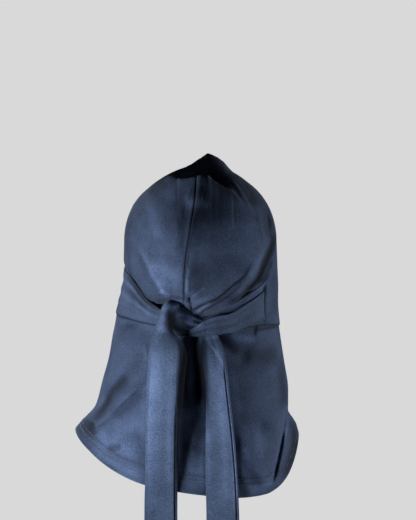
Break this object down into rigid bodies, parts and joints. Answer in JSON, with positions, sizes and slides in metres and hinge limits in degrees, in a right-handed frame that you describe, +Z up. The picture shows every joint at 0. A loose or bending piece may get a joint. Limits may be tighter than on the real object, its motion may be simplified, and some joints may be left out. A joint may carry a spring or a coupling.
{
  "type": "hijab underscarf cap with neck cape",
  "caption": "Jersey underscarf cap worn under a hijab: close crown with a soft pointed fold on top, open face, a cape round the neck, and ties in a half knot at the nape.",
  "frame": {"origin": "inside top of the crown, where the top of a head carries the cap", "axes": "+Z up the worn cap, +Y the way the face opening looks, +X towards the wearer's right"},
  "size_m": [0.2529, 0.2465, 0.4211],
  "materials": {
    "jersey": "navy cotton jersey, matt, slightly napped",
    "tie_jersey": "navy cotton jersey, two layers, pressed flat",
    "thread": "navy sewing thread"
  },
  "bodies": {
    "root": {"crown_left": "jersey", "crown_right": "jersey", "neck_cape": "jersey", "tie_left": "tie_jersey", "tie_right": "tie_jersey"}
  },
  "joints": []
}
